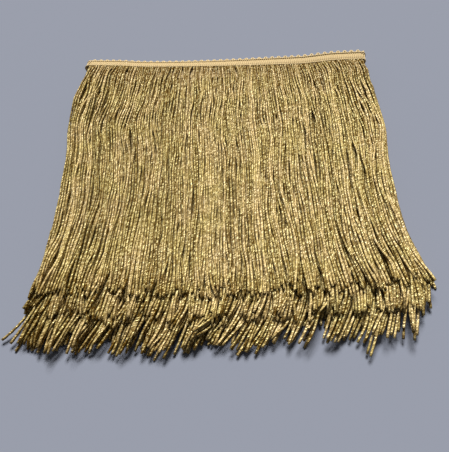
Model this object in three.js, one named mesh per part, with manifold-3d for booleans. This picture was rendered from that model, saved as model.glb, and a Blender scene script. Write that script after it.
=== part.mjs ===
// Chainette fringe trim, wound flat in three turns and laid on a table.
//
// The trim is one long braided heading with a picot edge, from which fine chainette cords
// hang. The heading goes round and round: along the back, over at the left, along the front,
// over at the right. Each turn starts a little lower than the turn outside it, so the cords of
// the outer turns climb over the headings of the inner ones, and their cut ends show in steps.
//
// Millimetres. +X runs along the heading, the cords hang towards -Y, +Z is up and the lowest
// cords lie on z = 0. Each layer of cords is a comb: a foot chain, which is the narrow row of
// stitches that binds the cords, with the cords gathered in flat locks.

import * as THREE from 'three';
import { mergeVertices } from 'three/addons/utils/BufferGeometryUtils.js';
import Module from 'manifold-3d';

const wasm = await Module();
wasm.setup();

const { clamp, lerp, smoothstep } = THREE.MathUtils;

// Driving dimensions
const CORD_DROP = 203;          // free length of the cords below the foot chain
const HALF_FRONT = 106;         // half the straight run of the outer turn
const HEADING_WIDTH = 8;        // picot tip to lower edge
const CLOTH_THICKNESS = 1.6;    // of the heading and of a lock of cords
const LAYER_PITCH = 2.2;        // from one layer to the next
const TURN_STEP = 15;           // how much lower each turn starts
const LOCKS_PER_LAYER = 40;
const RUN_STEPS = 28;           // stations along a straight run

// The heading's picot edge
const PICOTS_PER_STEP = 1.5;    // about 5 mm from picot to picot
const PICOT_DEPTH = 1.3;
const PICOT_PROFILE = [{ share: 0, rise: 0 }, { share: 0.3, rise: 1 }, { share: 0.7, rise: 1 }];

// The foot chain and the roots of the locks
const FOOT_GAP = 0.3;
const FOOT_WIDTH = 2.5;
const ROOT_DEPTH = 1.2;         // how far a lock's root reaches into the foot chain
const ROOT_THICKNESS = 1.1;
const LOCK_FILL = 0.8;          // a lock's width as a share of the pitch of the locks
const TIP_FILL = 0.75;          // a tip's width as a share of the lock's

// The heading sags in the middle and lies a little lower at the right end
const BOW_SAG = 2.2;
const BOW_TILT = -2.0;

// Where the layers climb, seen from the heading downwards. The two outer front layers start
// low and rise over the turns beneath them. Near both ends the headings that turn over lift them.
const FULL_STACK = 2 * TURN_STEP;
const CLIMBING_LEVELS = 4;
const LIFT_END = 52;
const LIFT_FROM_X = 58;
const LIFT_TO_X = 88;
const LEFT_LIFT = 0.6;
const RIGHT_LIFT = 1;
const END_RUN = 30;             // the stretch in which a heading leaves the line of its turn

// Stations down the cords
const WAIST = 110;
const HEM = 170;
const DROOP_START = 230;        // the longest layers hang down to the table from here
const DROOP_PER_MM = 0.1;       // in layers

const COLOURS = { heading: 0xd2b57e, cords: 0xa98f4f };

// The outline of the pile of cords, as steps outwards from the heading's ends.
const OUTLINE = [
  { depth: 0, left: 0, right: 0 },
  { depth: 30, left: -2.5, right: 2.5 },
  { depth: 60, left: -5, right: 6 },
  { depth: 105, left: -3, right: 8.5 },
  { depth: 165, left: -1.5, right: 9.5 },
  { depth: 190, left: -3.5, right: 14 },
  { depth: 215, left: -8, right: 19 },
];
const LEAN_RUN = 30;            // the stretch before a tip that leans

// The layers from the table up. side and the heading's height above or below its own turn are
// where it runs; left, body and right are how far its upper edge lies below the outer turn's.
// reach is its share of the pile's outline, and lean is how far its tips lean sideways.
const LAYERS = [
  { name: 'skirt_back_outer', side: -1, leftX: 106, rightX: 100, left: 0, body: 0, right: 0,
    reach: 0.8, lean: -2, droops: false },
  { name: 'skirt_back_middle', side: -1, leftX: 104, rightX: 106, left: 11, body: 7, right: 0,
    reach: 0.85, lean: -4, droops: false },
  { name: 'skirt_back_inner', side: -1, leftX: 102, rightX: 104, left: 28, body: 25, right: 15,
    reach: 0.85, lean: -12, droops: true },
  { name: 'skirt_front_inner', side: 1, leftX: 102, rightX: 98, left: 28, body: 34, right: 34,
    reach: 0.9, lean: -15, droops: true },
  { name: 'skirt_front_middle', side: 1, leftX: 104, rightX: 104, left: 11, body: 15, right: 15,
    reach: 0.9, lean: -5, droops: false },
  { name: 'skirt_front_outer', side: 1, leftX: 106, rightX: 106, left: 0, body: 0, right: 0,
    reach: 1, lean: -1, droops: false },
].map((layer, level) => ({ ...layer, level }));
const [BACK_OUTER, BACK_MIDDLE, BACK_INNER, FRONT_INNER, FRONT_MIDDLE, FRONT_OUTER] = LAYERS;
const WINDING = [BACK_OUTER, FRONT_OUTER, BACK_MIDDLE, FRONT_MIDDLE, BACK_INNER, FRONT_INNER];

// Heading lines and heights

/** Sag and tilt of every heading at x. */
function bow(x) {
  const share = x / HALF_FRONT;
  return BOW_TILT * share - BOW_SAG * (1 - share * share);
}

/** How far the upper edge of a layer's heading lies below the outer turn's, at x. */
function edgeDepth(layer, x) {
  const toLeft = smoothstep(-x, layer.leftX - END_RUN, layer.leftX);
  const toRight = smoothstep(x, layer.rightX - END_RUN, layer.rightX);
  return layer.body + (layer.left - layer.body) * toLeft + (layer.right - layer.body) * toRight;
}

/** The underside of a layer at x, at a depth below the outer turn's upper edge. */
function underside(layer, x, depth) {
  let level = layer.level;
  if (level >= CLIMBING_LEVELS) {
    const climb = CLIMBING_LEVELS * clamp(depth / FULL_STACK, 0, 1);
    const lift = smoothstep(-x, LIFT_FROM_X, LIFT_TO_X) * LEFT_LIFT
      + smoothstep(x, LIFT_FROM_X, LIFT_TO_X) * RIGHT_LIFT;
    const fade = clamp((LIFT_END - depth) / (LIFT_END - FULL_STACK), 0, 1);
    level += climb - CLIMBING_LEVELS + lift * fade;
  }
  if (layer.droops) level -= DROOP_PER_MM * Math.max(0, depth - DROOP_START);
  return LAYER_PITCH * level;
}

// Solids

/** A closed solid through a row of rings, each with the same number of points. */
function loft(rings) {
  const sides = rings[0].length;
  const positions = rings.flat().flatMap((point) => point.toArray());
  const triangles = [];
  for (let ring = 0; ring + 1 < rings.length; ring += 1) {
    for (let side = 0; side < sides; side += 1) {
      const a = ring * sides + side;
      const b = ring * sides + ((side + 1) % sides);
      triangles.push([a, b, b + sides], [a, b + sides, a + sides]);
    }
  }
  const last = (rings.length - 1) * sides;
  for (let side = 1; side + 1 < sides; side += 1) {
    triangles.push([0, side + 1, side], [last, last + side, last + side + 1]);
  }
  const corner = (index) => new THREE.Vector3().fromArray(positions, 3 * index);
  const volume = triangles.reduce(
    (sum, [a, b, c]) => sum + corner(a).dot(corner(b).cross(corner(c))), 0);
  const outward = volume > 0 ? triangles : triangles.map(([a, b, c]) => [a, c, b]);
  const geometry = new THREE.BufferGeometry();
  geometry.setAttribute('position', new THREE.Float32BufferAttribute(positions, 3));
  geometry.setIndex(outward.flat());
  return mergeVertices(geometry);
}

/** The same shape as a solid that can be joined to others. */
function toSolid(geometry) {
  return new wasm.Manifold(new wasm.Mesh({
    numProp: 3,
    vertProperties: new Float32Array(geometry.attributes.position.array),
    triVerts: new Uint32Array(geometry.index.array),
  }));
}

/** The surface of a joined solid. */
function toGeometry(solid) {
  const { vertProperties, triVerts } = solid.getMesh();
  const geometry = new THREE.BufferGeometry();
  geometry.setAttribute('position', new THREE.BufferAttribute(vertProperties, 3));
  geometry.setIndex(new THREE.BufferAttribute(triVerts, 1));
  return geometry;
}

// The heading

/** A ring across the heading: its upper and lower edge, each with an outer and an inner face. */
function headingRing(upper, lower, outward) {
  const half = outward.clone().multiplyScalar(CLOTH_THICKNESS / 2);
  return [upper.clone().add(half), upper.clone().sub(half),
    lower.clone().sub(half), lower.clone().add(half)];
}

/** The middle of the heading's thickness on a layer, at x and at an inset from its picot tips. */
function headingPoint(layer, x, inset) {
  const depth = edgeDepth(layer, x) + inset;
  return new THREE.Vector3(x, bow(x) - depth, underside(layer, x, depth) + CLOTH_THICKNESS / 2);
}

/** The x of each station along a layer's run, with the picot's rise there, from its start. */
function runStations(layer) {
  const showsPicots = layer === FRONT_OUTER;
  const profile = showsPicots ? PICOT_PROFILE : [{ share: 0, rise: 1 }];
  const count = showsPicots ? RUN_STEPS * PICOTS_PER_STEP : RUN_STEPS;
  const stations = [];
  for (let step = 0; step < count; step += 1) {
    for (const { share, rise } of profile) {
      stations.push({ x: lerp(-layer.leftX, layer.rightX, (step + share) / count), rise });
    }
  }
  stations.push({ x: layer.rightX, rise: profile[0].rise });
  return layer.side > 0 ? stations : stations.reverse();
}

/** The rings where the heading turns over from one layer to the next. */
function foldRings(from, to) {
  const steps = 6;
  const outwardX = from.side < 0 ? -1 : 1;
  const endOf = (layer) => (outwardX < 0 ? -layer.leftX : layer.rightX);
  const edges = [0, HEADING_WIDTH].map((inset) => ({
    start: headingPoint(from, endOf(from), inset),
    end: headingPoint(to, endOf(to), inset),
  }));
  const rings = [];
  for (let step = 1; step < steps; step += 1) {
    const angle = (Math.PI * step) / steps;
    const outward = new THREE.Vector3(outwardX * Math.sin(angle), 0, from.side * Math.cos(angle));
    const [upper, lower] = edges.map(({ start, end }) => {
      const centre = start.clone().lerp(end, step / steps);
      const radius = Math.abs(start.z - end.z) / 2;
      centre.z = (start.z + end.z) / 2 + from.side * radius * Math.cos(angle);
      centre.x += outwardX * radius * Math.sin(angle);
      return centre;
    });
    rings.push(headingRing(upper, lower, outward));
  }
  return rings;
}

/** The whole heading, from its outer end under the back to its inner end at the front. */
function headingGeometry() {
  const rings = [];
  WINDING.forEach((layer, turn) => {
    const outward = new THREE.Vector3(0, 0, layer.side);
    for (const { x, rise } of runStations(layer)) {
      const upper = headingPoint(layer, x, PICOT_DEPTH * (1 - rise));
      rings.push(headingRing(upper, headingPoint(layer, x, HEADING_WIDTH), outward));
    }
    const next = WINDING[turn + 1];
    if (next) rings.push(...foldRings(layer, next));
  });
  return loft(rings);
}

// The skirt of cords

/** The narrow chain below a layer's heading that binds its cords. */
function footChain(layer) {
  const rings = [];
  for (let step = 0; step <= RUN_STEPS; step += 1) {
    const x = lerp(-layer.leftX, layer.rightX, step / RUN_STEPS);
    const upper = headingPoint(layer, x, HEADING_WIDTH + FOOT_GAP);
    const lower = headingPoint(layer, x, HEADING_WIDTH + FOOT_GAP + FOOT_WIDTH);
    rings.push(headingRing(upper, lower, new THREE.Vector3(0, 0, 1)));
  }
  return loft(rings);
}

/** How far the pile's outline steps out on one side, at a depth. */
function outlineStep(side, depth) {
  const next = OUTLINE.findIndex((row) => row.depth >= depth);
  if (next < 0) return OUTLINE.at(-1)[side];
  if (next === 0) return OUTLINE[0][side];
  const [above, below] = [OUTLINE[next - 1], OUTLINE[next]];
  return lerp(above[side], below[side], (depth - above.depth) / (below.depth - above.depth));
}

/** How far a layer's tips lean sideways: most in the middle and least at the right end. */
function tipLean(layer, rootX) {
  const across = rootX / HALF_FRONT;
  return layer.lean * (1 - 0.45 * across * across - 0.25 * across);
}

/** The x of a lock that starts at rootX, at a depth and a share of the way to its tip. */
function lockX(layer, rootX, depth, share) {
  const across = (rootX / HALF_FRONT + 1) / 2;
  const step = lerp(outlineStep('left', depth), outlineStep('right', depth), across);
  const leaning = clamp(1 - ((1 - share) * CORD_DROP) / LEAN_RUN, 0, 1);
  const sway = 1.1 * Math.sin(18 * across + 5 * share + layer.level) * Math.sin(Math.PI * share);
  return rootX + layer.reach * step + tipLean(layer, rootX) * leaning + sway;
}

/** One flat lock of cords, rooted in the foot chain and blunt at its tip. */
function lock(layer, index) {
  const pitch = (layer.leftX + layer.rightX) / LOCKS_PER_LAYER;
  const rootX = -layer.leftX + pitch * (index + 0.5);
  const rootDepth = edgeDepth(layer, rootX) + HEADING_WIDTH + FOOT_GAP + FOOT_WIDTH - ROOT_DEPTH;
  const ragged = 2.5 * Math.sin(2.1 * index + 1.3 * layer.level) + 1.5 * Math.sin(5.7 * index);
  const shortening = tipLean(layer, rootX) ** 2 / (2 * LEAN_RUN);
  const tipDepth = rootDepth + ROOT_DEPTH + CORD_DROP - shortening + ragged;
  const stations = [FULL_STACK, LIFT_END, WAIST, HEM, DROOP_START].filter((depth) => {
    if (depth <= LIFT_END) return layer.level >= CLIMBING_LEVELS && depth > rootDepth + 2;
    return depth < DROOP_START || layer.droops;
  });
  const rings = [rootDepth, ...stations, tipDepth].map((depth, station, depths) => {
    const share = (depth - rootDepth) / (tipDepth - rootDepth);
    const x = lockX(layer, rootX, depth, share);
    const isTip = station === depths.length - 1;
    const halfWidth = pitch * LOCK_FILL * (isTip ? TIP_FILL : 1) / 2;
    const halfHeight = (station === 0 ? ROOT_THICKNESS : CLOTH_THICKNESS) / 2;
    const z = underside(layer, rootX, depth) + CLOTH_THICKNESS / 2;
    const y = bow(rootX) - depth;
    return [[-1, -1], [1, -1], [1, 1], [-1, 1]].map(([across, up]) => (
      new THREE.Vector3(x + across * halfWidth, y, z + up * halfHeight)));
  });
  return loft(rings);
}

/** A layer of cords: its foot chain with every lock joined to it. */
function skirtGeometry(layer) {
  let comb = toSolid(footChain(layer));
  for (let index = 0; index < LOCKS_PER_LAYER; index += 1) {
    comb = comb.add(toSolid(lock(layer, index)));
  }
  return toGeometry(comb);
}

// Assembly

const headingBraid = new THREE.MeshStandardMaterial({
  color: COLOURS.heading, roughness: 0.75, metalness: 0.1,
});
const metallicChainette = new THREE.MeshStandardMaterial({
  color: COLOURS.cords, roughness: 0.45, metalness: 0.5,
});

const trim = new THREE.Group();

function addPiece(name, geometry, material) {
  const mesh = new THREE.Mesh(geometry, material);
  mesh.name = name;
  trim.add(mesh);
}

addPiece('heading', headingGeometry(), headingBraid);
for (const layer of LAYERS) addPiece(layer.name, skirtGeometry(layer), metallicChainette);

// The origin is on the table, under the middle of the whole trim.
const bounds = new THREE.Box3().setFromObject(trim);
const centre = bounds.getCenter(new THREE.Vector3());
trim.position.set(-centre.x, -centre.y, -bounds.min.z);

export default trim;
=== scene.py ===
"""Chainette fringe trim, wound flat in three turns and laid on a table.

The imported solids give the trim's place and reach. This script dresses them: every lock of
cords becomes fine chainette cords that are laid one by one on the pile beneath, and the
heading becomes a wrapped braid with picot loops. Lengths are millimetres in the trim's own
lines, where x runs along the heading, y is 0 at the outer turn's upper edge and the cords hang
towards -y. They become metres in the frame's lines when a mesh is made.
"""

import logging
from dataclasses import dataclass
from enum import Enum

import bpy
import numpy as np
from mathutils import Matrix, Vector


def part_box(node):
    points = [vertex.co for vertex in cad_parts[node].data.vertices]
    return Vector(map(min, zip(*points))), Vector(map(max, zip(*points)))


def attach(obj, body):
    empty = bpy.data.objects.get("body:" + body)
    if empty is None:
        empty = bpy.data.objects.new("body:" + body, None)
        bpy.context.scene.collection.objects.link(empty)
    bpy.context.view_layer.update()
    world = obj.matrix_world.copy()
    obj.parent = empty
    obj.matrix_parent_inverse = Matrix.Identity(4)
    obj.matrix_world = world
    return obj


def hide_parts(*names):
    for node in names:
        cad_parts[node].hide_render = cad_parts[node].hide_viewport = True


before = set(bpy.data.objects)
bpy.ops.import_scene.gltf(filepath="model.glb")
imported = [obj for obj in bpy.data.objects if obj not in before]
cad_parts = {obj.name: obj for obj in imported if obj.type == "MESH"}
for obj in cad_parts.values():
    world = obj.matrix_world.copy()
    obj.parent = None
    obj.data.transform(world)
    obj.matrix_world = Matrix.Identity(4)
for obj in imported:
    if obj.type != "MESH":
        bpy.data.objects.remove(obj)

Array = np.ndarray
MM = 0.001
SEED = 7
HALF_STEP = 0.5
log = logging.getLogger("chainette_fringe")


class Side(Enum):
    """Which way a layer's heading faces: down on the back runs, up on the front runs."""

    BACK = -1
    FRONT = 1


def smoothstep(value: Array, start: float, end: float) -> Array:
    """Eases from 0 at start to 1 at end: 3t squared less 2t cubed, t being the share between."""
    t = np.clip((np.asarray(value, dtype=float) - start) / (end - start), 0.0, 1.0)
    return t * t * (3.0 - 2.0 * t)


@dataclass(frozen=True)
class TrimSizes:
    """The sizes that every layer shares, in millimetres."""

    half_front: float = 106.0
    cord_drop: float = 203.0
    heading_width: float = 8.0
    cloth_thickness: float = 1.6
    layer_pitch: float = 2.2
    turn_step: float = 15.0
    climbing_levels: int = 4
    bow_sag: float = 2.2
    bow_tilt: float = -2.0
    end_run: float = 30.0
    lift_end: float = 52.0
    lift_from: float = 58.0
    lift_to: float = 88.0
    left_lift: float = 0.6
    right_lift: float = 1.0
    top_above_line: float = 2.0
    left_of_line: float = -109.7

    def bow(self, x: Array) -> Array:
        """Sag and tilt of every heading: a parabola through both ends, and a slope."""
        share = np.asarray(x, dtype=float) / self.half_front
        return self.bow_tilt * share - self.bow_sag * (1.0 - share * share)


TRIM = TrimSizes()


@dataclass(frozen=True)
class Layer:
    """One run of the wound trim, with its heading line and the way that its cords fall.

    left, body and right are how far the heading's upper edge lies below the outer turn's.
    reach is the layer's share of the pile's outline. lean bends the ends of its cords aside,
    tip_scatter does so at random for a clump of cords, and gather draws the ends of a clump
    together. drawn_up is how much shorter the cords are, and end_sag is how much of a slack
    cord's sag their ends have. A cord's tube has so many rings of so many sides.
    """

    node: str
    side: Side
    level: int
    left_x: float
    right_x: float
    left: float
    body: float
    right: float
    reach: float
    lean: float
    tip_scatter: float
    gather: float
    drawn_up: float
    end_sag: float
    rings: int
    sides: int

    def edge_depth(self, x: Array) -> Array:
        """The upper edge's depth: the body's, eased into the end's over the last stretch.

        Args:
            x: places along the heading.
        Returns:
            How far the edge lies below the outer turn's, at each place.
        """
        to_left = smoothstep(-x, self.left_x - TRIM.end_run, self.left_x)
        to_right = smoothstep(x, self.right_x - TRIM.end_run, self.right_x)
        return self.body + (self.left - self.body) * to_left + (self.right - self.body) * to_right

    def underside(self, x: Array, depth: Array) -> Array:
        """The layer's bed: its level, less what the outer front layers still have to climb.

        They climb in proportion to the depth. Near both ends they are lifted, by what eases in
        along x and fades out down the cords.

        Args:
            x: places along the heading.
            depth: how far below the outer turn's upper edge.
        Returns:
            The height of the bed over the table.
        """
        level = np.full(np.broadcast(x, depth).shape, float(self.level))
        if self.level >= TRIM.climbing_levels:
            full = 2.0 * TRIM.turn_step
            climb = TRIM.climbing_levels * np.clip(depth / full, 0.0, 1.0)
            lift = (smoothstep(-x, TRIM.lift_from, TRIM.lift_to) * TRIM.left_lift
                    + smoothstep(x, TRIM.lift_from, TRIM.lift_to) * TRIM.right_lift)
            fade = np.clip((TRIM.lift_end - depth) / (TRIM.lift_end - full), 0.0, 1.0)
            level = level + climb - TRIM.climbing_levels + lift * fade
        return TRIM.layer_pitch * level


# Depth below the outer turn's upper edge, and how far the pile's outline lies to the side of the
# heading's ends there, at the left and at the right.
OUTLINE = np.array([
    (0.0, 0.0, 0.0),
    (20.0, -1.6, 3.6),
    (38.0, -2.0, 4.8),
    (56.0, -3.8, 8.0),
    (68.0, -6.8, 9.4),
    (78.0, -6.8, 10.6),
    (101.0, -1.8, 9.0),
    (136.0, 1.2, 8.2),
    (161.0, -0.6, 11.0),
    (181.0, -3.0, 14.8),
    (198.0, -4.6, 18.8),
    (212.0, -6.0, 21.8),
    (246.0, -6.5, 20.0),
])

LAYERS = (
    Layer("skirt_back_outer", Side.BACK, level=0, left_x=106, right_x=100,
          left=0, body=0, right=0, reach=0.8, lean=-2, tip_scatter=1.5, gather=0.2,
          drawn_up=0, end_sag=1, rings=70, sides=5),
    Layer("skirt_back_middle", Side.BACK, level=1, left_x=104, right_x=106,
          left=11, body=7, right=0, reach=0.85, lean=-4, tip_scatter=2.0, gather=0.2,
          drawn_up=0, end_sag=1, rings=64, sides=4),
    Layer("skirt_back_inner", Side.BACK, level=2, left_x=102, right_x=104,
          left=28, body=25, right=15, reach=0.85, lean=-9, tip_scatter=1.6, gather=0.2,
          drawn_up=1, end_sag=0.4, rings=86, sides=5),
    Layer("skirt_front_inner", Side.FRONT, level=3, left_x=102, right_x=98,
          left=28, body=34, right=34, reach=0.9, lean=-12.5, tip_scatter=2.0, gather=0.35,
          drawn_up=2, end_sag=0.4, rings=90, sides=5),
    Layer("skirt_front_middle", Side.FRONT, level=4, left_x=104, right_x=104,
          left=11, body=15, right=15, reach=0.9, lean=-5, tip_scatter=2.2, gather=0.3,
          drawn_up=3.5, end_sag=0.55, rings=88, sides=5),
    Layer("skirt_front_outer", Side.FRONT, level=5, left_x=106, right_x=106,
          left=0, body=0, right=0, reach=1.0, lean=-1, tip_scatter=1.6, gather=0.2,
          drawn_up=3, end_sag=0.5, rings=112, sides=5),
)
BACK_OUTER, BACK_MIDDLE, BACK_INNER, FRONT_INNER, FRONT_MIDDLE, FRONT_OUTER = LAYERS
INNER_TURN = (BACK_INNER, FRONT_INNER)

# Place along the heading, how much shorter all the cords are there, and how much shorter still
# those of the inner turn are.
DRAWN_UP = np.array([
    (-106.0, 1.2, -3.5),
    (-75.0, 0.5, 0.0),
    (-30.0, 0.8, 3.0),
    (15.0, 2.2, 3.5),
    (45.0, 4.0, 7.0),
    (75.0, 6.0, 7.0),
    (106.0, 8.2, 6.5),
])

# Cords that stick out: their layer, their root's x, how far they bend aside and reach out.
STRAYS = (
    ("skirt_front_inner", -101.0, -10.0, 0.0),
    ("skirt_front_inner", -99.2, -6.0, 0.0),
    ("skirt_back_inner", -101.4, -5.0, 2.0),
    ("skirt_front_middle", 30.0, 8.0, 0.0),
    ("skirt_front_inner", 12.0, 9.0, 0.0),
    ("skirt_front_inner", 76.8, -1.0, 9.0),
    ("skirt_front_inner", 78.0, -2.0, 8.0),
    ("skirt_front_inner", 79.3, -3.0, 7.0),
)
WINDING = (BACK_OUTER, FRONT_OUTER, BACK_MIDDLE, FRONT_MIDDLE, BACK_INNER, FRONT_INNER)


# Meshes

def unit(vectors: Array) -> Array:
    """The same directions with a length of 1: each vector over its own length."""
    return vectors / np.linalg.norm(vectors, axis=-1, keepdims=True)


def signed_volume(points: Array, faces: Array) -> float:
    """The volume that faces close in: a sixth of the sum of their corners' triple products."""
    a, b, c = (points[faces[:, corner]] for corner in range(3))
    return float(np.einsum("ij,ij->i", a, np.cross(b, c)).sum() / 6.0)


def report(piece: bpy.types.Object) -> None:
    """Logs a piece's name and its number of triangles."""
    log.info("%s: %d triangles", piece.name, len(piece.data.polygons))


def trim_origin() -> Array:
    """The trim's own zero in the frame's metres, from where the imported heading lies."""
    low, high = (np.array(corner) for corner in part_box("heading"))
    return np.array([low[0] - TRIM.left_of_line * MM, high[1] - TRIM.top_above_line * MM, 0.0])


@dataclass
class Surface:
    """Points, faces and per-corner values that go into one mesh."""

    points: Array
    faces: Array
    corner_uv: Array
    tone: Array

    @staticmethod
    def joined(parts: list["Surface"]) -> "Surface":
        """Puts surfaces together: each part's face numbers move up past the points before it.

        Args:
            parts: the surfaces, in the order that their points take.
        Returns:
            One surface with the points and faces of all.
        """
        starts = np.cumsum([0] + [len(part.points) for part in parts[:-1]])
        return Surface(
            np.concatenate([part.points for part in parts]),
            np.concatenate([part.faces + start for part, start in zip(parts, starts)]),
            np.concatenate([part.corner_uv for part in parts]),
            np.concatenate([part.tone for part in parts]),
        )

    def to_object(self, name: str) -> bpy.types.Object:
        """Makes the mesh object, in metres, with its UV map and its tone per point.

        The cut ends, whose corners all lie at the same V, are flat and have sharp edges.

        Args:
            name: the new object's name.
        Returns:
            The object, linked to the scene.
        """
        mesh = bpy.data.meshes.new(name)
        points = (self.points * MM + trim_origin()).astype(np.float32)
        count = len(self.faces)
        mesh.vertices.add(len(points))
        mesh.vertices.foreach_set("co", points.ravel())
        mesh.loops.add(3 * count)
        mesh.loops.foreach_set("vertex_index", self.faces.astype(np.int32).ravel())
        mesh.polygons.add(count)
        mesh.polygons.foreach_set("loop_start", np.arange(0, 3 * count, 3, dtype=np.int32))
        place = self.corner_uv[:, 1].reshape(-1, 3)
        mesh.polygons.foreach_set("use_smooth", place.max(axis=1) > place.min(axis=1))
        uv = mesh.uv_layers.new(name="along_cord")
        uv.data.foreach_set("uv", self.corner_uv.astype(np.float32).ravel())
        tone = mesh.attributes.new("tone", "FLOAT", "POINT")
        tone.data.foreach_set("value", self.tone.astype(np.float32))
        mesh.update(calc_edges=True)
        mesh.validate()
        piece = bpy.data.objects.new(name, mesh)
        bpy.context.scene.collection.objects.link(piece)
        return piece


def tube_grid(rings: int, sides: int) -> tuple[Array, Array, Array]:
    """The faces of one closed tube, with the turn and the ring of each of their corners.

    Two rows of triangles join neighbouring rings. As every other ring is turned by half a
    step, the corners that a triangle joins alternate too. A fan closes each end.

    Args:
        rings: how many rings the tube has.
        sides: how many points a ring has.
    Returns:
        The faces' point numbers, their corners' share of a turn, and their corners' rings.
    """
    row, column = np.meshgrid(np.arange(rings - 1), np.arange(sides), indexing="ij")
    here, there = row * sides, (row + 1) * sides
    following = (column + 1) % sides
    even = row % 2 == 0
    first = np.stack([here + column, here + following,
                      there + np.where(even, column, following)], -1)
    second = np.stack([np.where(even, here + following, here + column),
                       there + following, there + column], -1)
    turn_here = np.where(even, 0.0, HALF_STEP)
    turn_there = HALF_STEP - turn_here
    first_u = np.stack([column + turn_here, column + 1 + turn_here,
                        np.where(even, column, column + 1) + turn_there], -1)
    second_u = np.stack([np.where(even, column + 1, column) + turn_here,
                         column + 1 + turn_there, column + turn_there], -1)
    first_row = np.stack([row, row, row + 1], -1)
    second_row = np.stack([row, row + 1, row + 1], -1)
    side_faces = np.stack([first, second], 2).reshape(-1, 3)
    side_u = np.stack([first_u, second_u], 2).reshape(-1, 3) / sides
    side_row = np.stack([first_row, second_row], 2).reshape(-1, 3)

    fan = np.arange(1, sides - 1)
    last = (rings - 1) * sides
    start_cap = np.stack([np.zeros_like(fan), fan + 1, fan], -1)
    end_cap = np.stack([last + np.zeros_like(fan), last + fan, last + fan + 1], -1)
    faces = np.concatenate([side_faces, start_cap, end_cap])
    u = np.concatenate([side_u, start_cap / sides, (end_cap - last) / sides])
    rows = np.concatenate([side_row, np.zeros_like(start_cap), np.full_like(end_cap, rings - 1)])
    return faces, u, rows


def tubes(paths: Array, radii: Array, sides: int, tone: Array, up: Array) -> Surface:
    """Round closed tubes along many paths at once.

    A ring's points are the path's point plus radius times (cosine of the angle times the
    across vector, plus sine of the angle times the upright vector). Every other ring is turned
    by half a step, as the stitches of a knitted cord are.

    Args:
        paths: cords by rings by 3.
        radii: cords by rings.
        sides: points of a ring.
        tone: one value for each cord.
        up: 3, or cords by rings by 3: roughly at right angles to the paths.
    Returns:
        The tubes as one surface. U goes round a tube and V is its length in millimetres.
    """
    cords, rings, _ = paths.shape
    tangent = unit(np.gradient(paths, axis=1))
    across = unit(np.cross(tangent, np.broadcast_to(up, paths.shape)))
    upright = np.cross(across, tangent)
    turned = HALF_STEP * (np.arange(rings) % 2)
    step = np.arange(sides)[None, :] + turned[:, None]
    angle = 2.0 * np.pi * step / sides
    ring = (np.cos(angle)[None, :, :, None] * across[:, :, None, :]
            + np.sin(angle)[None, :, :, None] * upright[:, :, None, :])
    points = paths[:, :, None, :] + radii[:, :, None, None] * ring

    gaps = np.linalg.norm(np.diff(paths, axis=1), axis=2)
    along = np.concatenate([np.zeros((cords, 1)), np.cumsum(gaps, axis=1)], axis=1)

    faces, u, rows = tube_grid(rings, sides)
    offsets = (np.arange(cords) * rings * sides)[:, None, None]
    corner_u = np.broadcast_to(u, (cords, *u.shape))
    corner_v = along[:, rows]
    return Surface(
        points.reshape(-1, 3),
        (faces[None] + offsets).reshape(-1, 3),
        np.stack([corner_u, corner_v], -1).reshape(-1, 2),
        np.repeat(tone, rings * sides),
    )


# The heading

@dataclass
class Band:
    """The heading's ribbon: its upper and lower edge and its outward face, by length."""

    upper: Array
    lower: Array
    outward: Array
    length: Array

    def at(self, length: Array, across: Array, rise: Array) -> Array:
        """Points on and over the ribbon.

        A point is the upper edge's plus the share across times the way to the lower edge's,
        plus the rise times the outward direction.

        Args:
            length: places along the heading.
            across: the share of the way from the upper edge to the lower.
            rise: how far off the middle of the heading's thickness.
        Returns:
            The points, in the arguments' shape by 3.
        """
        upper, lower = self.read(self.upper, length), self.read(self.lower, length)
        outward = self.facing(length)
        return upper + across[..., None] * (lower - upper) + rise[..., None] * outward

    def read(self, rows: Array, length: Array) -> Array:
        """Reads rows of vectors at each length, axis by axis, on the line between two rows."""
        return np.stack([np.interp(length, self.length, rows[:, axis]) for axis in range(3)], -1)

    def facing(self, length: Array) -> Array:
        """The outward direction at each length."""
        return unit(self.read(self.outward, length))


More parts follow.
